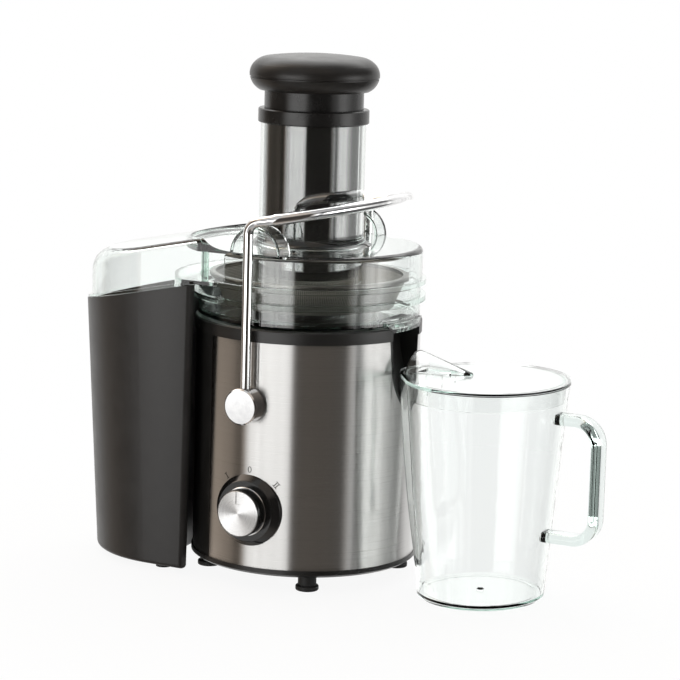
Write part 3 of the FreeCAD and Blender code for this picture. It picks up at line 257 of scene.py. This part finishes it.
def crown(shader):
    """Normal of the bin's flat sides as if crowned: they turn away bit by bit towards the base."""
    x, _, _ = shader.axes(shader.place())
    along = shader.math("MAXIMUM", shader.math("SUBTRACT", x, CROWN_X), 0.0)
    square = shader.math("MULTIPLY", along, along)
    # How far a circle falls away from its tangent, in millimetres
    fall = shader.math("MULTIPLY", square, -0.5 / (CROWN_R * MM))
    return shader.bump(fall, 1.0)


def moulded(name, dark, light, rough, grain, depth, gloss=0.5, coat=0.0, uneven=0.04, crowned=False):
    """Moulded plastic or rubber: faint cloudy colour, fine grain, uneven gloss."""
    shader = Shader(name)
    cloud = shader.noise(CLOUD, detail=4.0)
    side = crown(shader) if crowned else None
    shader.set(
        Base_Color=shader.shade(cloud, dark, light),
        Roughness=shader.spread(cloud, rough - uneven, rough + uneven),
        Normal=shader.bump(shader.noise(grain, detail=2.0), depth, side),
        IOR=PLASTIC_IOR,
        Specular_IOR_Level=gloss,
        Coat_Weight=coat,
        Coat_Roughness=COAT_ROUGH,
    )
    return shader.material


def metal(name, dark, light, rough, uneven=0.06, stain=STAIN):
    """Plain or plated metal with an uneven shine."""
    shader = Shader(name)
    cloud = shader.noise(stain, detail=4.0)
    shader.set(
        Base_Color=shader.shade(cloud, dark, light),
        Roughness=shader.spread(cloud, rough - uneven, rough + uneven),
        Metallic=1.0,
    )
    return shader.material


def brushed_wrap():
    """Steel sheet with fine brushing round the body."""
    shader = Shader("steel_brushed")
    lines = shader.noise(BRUSHING, detail=3.0, rough=0.7)
    outward = shader.new("NewGeometry").outputs["True Normal"]
    shader.set(
        Base_Color=shader.shade(lines, *STEEL_COLOURS, BRUSHING_SPAN),
        Roughness=shader.spread(lines, *STEEL_ROUGH),
        Normal=shader.bump(lines, BRUSHING_DEPTH),
        Metallic=1.0,
        Anisotropic=1.0,
        Anisotropic_Rotation=QUARTER_TURN,
        Tangent=shader.new("VectorMath", {0: (0, 0, 1), 1: outward}, operation="CROSS_PRODUCT"),
    )
    return shader.material


def spun_cap():
    """Aluminium turned on a lathe: fine rings about the dial's axis."""
    shader = Shader("aluminium_spun")
    x, _, z = shader.axes(shader.place())
    across = shader.math("SUBTRACT", x, SPINDLE_X)
    up = shader.math("SUBTRACT", z, DIAL_Z)
    squares = shader.math("ADD", shader.math("MULTIPLY", across, across), shader.math("MULTIPLY", up, up))
    rings = shader.math("MULTIPLY", shader.math("SQRT", squares), LATHE_RINGS)
    lines = shader.pattern(shader.new("CombineXYZ", {"X": rings}), detail=2.0, rough=0.6)
    shader.set(
        Base_Color=shader.shade(lines, *CAP_COLOURS),
        Roughness=shader.spread(lines, *CAP_ROUGH),
        Normal=shader.bump(lines, LATHE_DEPTH),
        Metallic=1.0,
        Anisotropic=CAP_ANISOTROPY,
        Anisotropic_Rotation=QUARTER_TURN,
        Tangent=shader.new("Tangent", direction_type="RADIAL", axis="Y"),
    )
    return shader.material


def basket_mesh():
    """Etched steel sieve: rows of tiny round holes, seen as dark dots."""
    shader = Shader("steel_sieve")
    x, y, z = shader.axes(shader.place())
    turn = shader.math("ARCTAN2", y, shader.math("SUBTRACT", x, SPINDLE_X))
    columns = shader.math("MULTIPLY", turn, SIEVE_COLUMNS)
    rows = shader.math("MULTIPLY", z, SIEVE_ROWS)
    sheet = shader.new("CombineXYZ", {"X": columns, "Y": rows})
    layout = {"Vector": sheet, "Scale": 1.0, "Randomness": SIEVE_UNEVEN}
    dots = shader.new("TexVoronoi", layout, voronoi_dimensions="2D")
    shader.set(
        Base_Color=shader.shade(dots, *SIEVE_COLOURS, HOLE_EDGE),
        Metallic=shader.spread(dots, 0.0, 1.0, HOLE_EDGE),
        Roughness=shader.spread(dots, *SIEVE_ROUGH, HOLE_EDGE),
        Normal=shader.bump(dots, HOLE_DEPTH),
    )
    return shader.material


def in_rib(shader):
    """1 inside the lid's upright rib, where tint and shade are painted, and 0 elsewhere."""
    x, y, _ = shader.axes(shader.place())
    across = shader.math("ABSOLUTE", shader.math("SUBTRACT", x, RIB_X))
    near = shader.math("LESS_THAN", across, RIB_HALF)
    outer = shader.math("GREATER_THAN", shader.math("ABSOLUTE", y), RIB_Y)
    return shader.math("MULTIPLY", near, outer)


def clear_plastic(name, tint, density, ior, painted_rib=False):
    """Clear moulding whose thick edges look faintly green, with painted dark green tint and shade on the lid's
    rib where asked; light shines through it.
    """
    shader = Shader(name)
    wave = shader.noise(WAVE, detail=2.0)
    shader.set(
        Base_Color=CLEAR_COLOUR,
        Roughness=shader.spread(wave, *CLEAR_ROUGH),
        Normal=shader.bump(wave, WAVE_DEPTH),
        Transmission_Weight=1.0,
        IOR=ior,
    )
    if painted_rib:
        # paints the rib dark green: tint and shade of a wall seen edge-on, not a colour of the plastic
        shader.set(Base_Color=shader.shade(in_rib(shader), CLEAR_COLOUR, RIB_TINT_AND_SHADE, (0.0, 1.0)))
    shadow = shader.new("LightPath").outputs["Is Shadow Ray"]
    through = shader.new("BsdfTransparent", {"Color": CLEAR_SHADOW})
    shader.fill(shader.out.inputs["Surface"], shader.mix(shadow, shader.principled, through))
    absorption = shader.new("VolumeAbsorption", {"Color": tint, "Density": density})
    shader.fill(shader.out.inputs["Volume"], absorption)
    return shader.material


def ink():
    """Printing ink, a little uneven."""
    shader = Shader("ink")
    shader.set(Base_Color=shader.shade(shader.noise(BLOT, detail=3.0), *INK_COLOURS), Roughness=INK_ROUGH)
    return shader.material


INK = ink()
LOOKS = (
    (brushed_wrap(), ["steel_wrap"]),
    (spun_cap(), ["dial_cap"]),
    (basket_mesh(), ["basket_cone"]),
    (metal("chrome", (0.80, 0.80, 0.81), (0.86, 0.86, 0.86), rough=0.05, uneven=0.02, stain=WIPE),
     ["bail_rod", "bail_grip", "bail_cap_front", "bail_cap_rear", "dial_ring"]),
    (metal("steel_dull", (0.20, 0.188, 0.172), (0.28, 0.265, 0.245), rough=0.36),
     ["grater_disc"]),
    (metal("steel_dark", (0.120, 0.114, 0.105), (0.160, 0.152, 0.141), rough=0.34),
     ["basket_rim"]),
    (metal("steel_bright", (0.46, 0.455, 0.45), (0.60, 0.595, 0.59), rough=0.26),
     ["base_screws", "motor_shaft", "dial_shaft", "pivot_pin_front", "pivot_pin_rear", "bearing_lower",
      "bearing_upper", "motor_bracket_lower", "motor_bracket_upper"]),
    (metal("steel_laminated", (0.12, 0.12, 0.125), (0.22, 0.22, 0.22), rough=0.45),
     ["motor_stator", "armature"]),
    (metal("copper", (0.48, 0.23, 0.11), (0.66, 0.36, 0.19), rough=0.32),
     ["pivot_bush_front", "pivot_bush_rear", "commutator", "field_coils"]),
    (clear_plastic("plastic_clear_lid", CLEAR_TINT, density=22.0, ior=1.57, painted_rib=True),
     ["lid"]),
    (clear_plastic("plastic_clear", CLEAR_TINT, density=28.0, ior=1.57),
     ["juice_bowl"]),
    (clear_plastic("plastic_clear_jug", JUG_TINT, density=20.0, ior=1.36),
     ["jug_body", "jug_lid"]),
    (moulded("plastic_black", (0.010, 0.0095, 0.009), (0.015, 0.0145, 0.014), rough=0.36, grain=2600.0,
             depth=0.02),
     ["base_plate", "housing_shell", "top_deck", "spout_scoop", "speed_switch", "interlock_switch",
      "interlock_cam", "brush_holders", "cooling_fan", "basket_hub", "drive_coupling"]),
    (moulded("plastic_gloss", (0.006, 0.006, 0.006), (0.009, 0.0088, 0.0085), rough=0.10, grain=900.0,
             depth=0.003, coat=0.4),
     ["dial_bezel", "dial_knob", "pusher_tube"]),
    (moulded("plastic_satin", (0.008, 0.0077, 0.0075), (0.012, 0.0116, 0.0112), rough=0.26, grain=1800.0,
             depth=0.004, gloss=0.36),
     ["pusher_collar"]),
    (moulded("plastic_soft_touch", (0.013, 0.0117, 0.0109), (0.018, 0.0163, 0.0152), rough=0.33, grain=3200.0,
             depth=0.008, gloss=0.34),
     ["pusher_cap_lower", "pusher_cap_top"]),
    (moulded("plastic_charcoal", (0.019, 0.0178, 0.0173), (0.025, 0.0235, 0.0228), rough=0.40, grain=1500.0,
             depth=0.02, uneven=0.03, crowned=True),
     ["pulp_bin"]),
    (moulded("rubber", (0.010, 0.010, 0.010), (0.018, 0.018, 0.018), rough=0.62, grain=1400.0, depth=0.03),
     ["feet", "bin_feet", "shaft_seal", "motor_mounts", "cord_gland"]),
)
FINISHES = {name: material for material, names in LOOKS for name in names}

for name, node in NODES.items():
    node.data.materials.clear()
    node.data.materials.append(FINISHES[name])


# Printed marks

def add_object(name, data):
    """A new object in the scene."""
    thing = bpy.data.objects.new(name, data)
    bpy.context.scene.collection.objects.link(thing)
    return thing


def bar(x0, x1, z0, z1, parts=4):
    """Rows across a stroke, enough of them to follow the round body."""
    rows = []
    for index in range(parts + 1):
        x = x0 + (x1 - x0) * index / parts
        rows.append(((x, z0), (x, z1)))
    return rows


def oval(half_x, half_z, stroke, parts=40):
    """Rows round a closed ring, thinner at its ends."""
    rows = []
    for index in range(parts):
        a = 2 * math.pi * index / parts
        thin = stroke * (ZERO_THIN + (1 - ZERO_THIN) * abs(math.cos(a)))
        rows.append((((half_x - thin) * math.cos(a), (half_z - thin) * math.sin(a)),
                     (half_x * math.cos(a), half_z * math.sin(a))))
    return rows


def numeral(count):
    """One or two upright strokes between serifs."""
    half = MARK_H / 2
    middles = [(index - (count - 1) / 2) * MARK_GAP for index in range(count)]
    strips = []
    for middle in middles:
        sides = (middle - MARK_STROKE / 2, middle + MARK_STROKE / 2)
        strips.append(bar(*sides, SERIF_T - half, half - SERIF_T, parts=1))
    left = middles[0] - SERIF
    right = middles[-1] + SERIF
    strips.append(bar(left, right, -half, SERIF_T - half))
    strips.append(bar(left, right, half - SERIF_T, half))
    return strips


def on_body(x, z, turn, radius):
    """Place on the round body of a mark's point, whose mark stands at a turn round the dial."""
    away = MARK_CIRCLE + z
    across = away * math.sin(turn) + x * math.cos(turn)
    height = DIAL_Z + away * math.cos(turn) - x * math.sin(turn)
    angle = across / BODY_R
    return (SPINDLE_X + radius * math.sin(angle), -radius * math.cos(angle), height)


def printed_mark(name, strips, closed=False):
    """Thin ink on the steel, its foot towards the dial."""
    turn = math.radians(MARK_TURNS[name])
    points = []
    faces = []
    for strip in strips:
        rows = []                    # of four points each: both edges inside the steel, then both outside
        for edges in strip:
            first = len(points)
            for radius in (BODY_R - INK_IN, BODY_R + INK_OUT):
                points += [on_body(x, z, turn, radius) for x, z in edges]
            rows.append(range(first, len(points)))
        for a, b in zip(rows, rows[1:] + rows[:1] if closed else rows[1:]):
            faces += [(a[2], b[2], b[3], a[3]), (a[0], a[1], b[1], b[0]), (a[0], b[0], b[2], a[2]),
                      (a[1], a[3], b[3], b[1])]
        if not closed:
            start, end = rows[0], rows[-1]
            faces += [(start[0], start[2], start[3], start[1]), (end[0], end[1], end[3], end[2])]
    mesh = bpy.data.meshes.new(name)
    mesh.from_pydata(points, [], faces)
    mesh.materials.append(INK)
    mark = add_object(name, mesh)
    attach(mark, "base")


printed_mark("mark_off", [oval(ZERO_HALF_X, MARK_H / 2, MARK_STROKE)], closed=True)
printed_mark("mark_low", numeral(1))
printed_mark("mark_high", numeral(2))


# Stage: floor, world light and camera

def make_floor():
    """White to the camera, with the object's shadow; rays that gloss has reflected pass through."""
    mesh = bpy.data.meshes.new("floor")
    corners = [(x * FLOOR_REACH, y * FLOOR_REACH, 0) for x, y in ((-1, -1), (1, -1), (1, 1), (-1, 1))]
    mesh.from_pydata(corners, [], [(0, 1, 2, 3)])
    floor = add_object("floor", mesh)
    material = bpy.data.materials.new("floor_white")
    nodes = Nodes(material)
    path = nodes.new("LightPath").outputs
    seen = nodes.math("MAXIMUM", path["Is Camera Ray"], path["Is Transmission Ray"])
    away = nodes.new("VectorMath", {0: nodes.place()}, operation="LENGTH").outputs["Value"]
    share = nodes.math("MULTIPLY", seen, nodes.spread(away, *FLOOR_GLOW, FLOOR_FADE, smooth=True))
    white = nodes.mix(share, nodes.new("BsdfDiffuse", {"Color": FLOOR_COLOUR}), nodes.new("Emission"))
    bounced = nodes.math("GREATER_THAN", path["Glossy Depth"], BOUNCED)
    nodes.new("OutputMaterial", {"Surface": nodes.mix(bounced, white, nodes.new("BsdfTransparent"))})
    mesh.materials.append(material)


def make_world():
    """Studio light on the object, and plain white behind it for the camera, also through clear plastic."""
    world = bpy.data.worlds.new("studio")
    bpy.context.scene.world = world
    nodes = Nodes(world)
    way = nodes.new("TexCoord").outputs["Generated"]
    turned = {"Vector": way, "Angle": -CAMERA_TURN}
    x, y, z = nodes.axes(nodes.new("VectorRotate", turned, rotation_type="Z_AXIS"))
    angle = nodes.math("ARCTAN2", x, nodes.math("MULTIPLY", y, -1.0))
    # From 0 to 1 round the studio, with 0.5 on the camera's side
    turn = nodes.math("ADD", nodes.math("DIVIDE", angle, 2 * math.pi), 0.5)
    height = nodes.math("ARCSINE", z)

    def blend(share, first, second):
        """Moves from the first number to the second with share."""
        rest = nodes.math("SUBTRACT", 1.0, share)
        return nodes.math("ADD", nodes.math("MULTIPLY", rest, first), nodes.math("MULTIPLY", share, second))

    def ring(stops):
        """Numbers round the studio, by degrees."""
        ramp = [(degrees / FULL_TURN + 0.5, (number / LIGHT_PEAK,) * 3) for degrees, number in stops]
        return nodes.math("MULTIPLY", nodes.colours(turn, ramp), LIGHT_PEAK)

    def rise(limits, low, high):
        """Moves from low to high between two heights in degrees."""
        return nodes.spread(height, low, high, [math.radians(limit) for limit in limits], smooth=True)

    band = nodes.math("MULTIPLY", rise(PANEL_LOW, 0, 1), rise(PANEL_HIGH, 1, 0))
    light = blend(band, ring(WALLS), ring(PANELS))
    streak = nodes.new("TexNoise", {"W": turn, "Scale": STREAKS}, noise_dimensions="1D")
    uneven = nodes.spread(streak, 1.0 - STREAK_DEPTH, 1.0 + STREAK_DEPTH, smooth=True)
    light = nodes.math("MULTIPLY", light, uneven)
    light = blend(rise(CEILING, 0, 1), light, ring(TOPS))
    light = blend(rise(UNDER, 1, 0), light, UNDER_LEVEL)
    tones = {"Factor": ring(WARMTH), "A": PANEL_COLOUR, "B": WARM_COLOUR}
    colour = nodes.new("Mix", tones, data_type="RGBA").outputs["Result"]
    path = nodes.new("LightPath").outputs
    straight = nodes.math("LESS_THAN", path["Glossy Depth"], BOUNCED)
    through = nodes.math("MULTIPLY", path["Is Transmission Ray"], straight)
    seen = nodes.math("MAXIMUM", path["Is Camera Ray"], through)
    glow = nodes.new("Background", {"Color": colour, "Strength": light})
    white = nodes.new("Background", {"Color": WHITE})
    nodes.new("OutputWorld", {"Surface": nodes.mix(seen, glow, white)})


def make_camera():
    """Camera at the photograph's place."""
    data = bpy.data.cameras.new("camera")
    data.lens = CAMERA_LENS
    data.sensor_width = CAMERA_SENSOR
    data.clip_end = CAMERA_REACH
    camera = add_object("camera", data)
    level = math.cos(CAMERA_PITCH)
    ahead = Vector((-math.sin(CAMERA_TURN) * level, math.cos(CAMERA_TURN) * level, -math.sin(CAMERA_PITCH)))
    right = ahead.cross(Vector((0, 0, 1))).normalized()
    up = right.cross(ahead)
    basis = Matrix((right, up, -ahead)).transposed().to_4x4()
    camera.matrix_world = Matrix.Translation(CAMERA_AT) @ basis @ Matrix.Rotation(CAMERA_ROLL, 4, "Z")
    bpy.context.scene.camera = camera


make_floor()
make_world()
make_camera()
bpy.context.scene.view_settings.view_transform = "Standard"
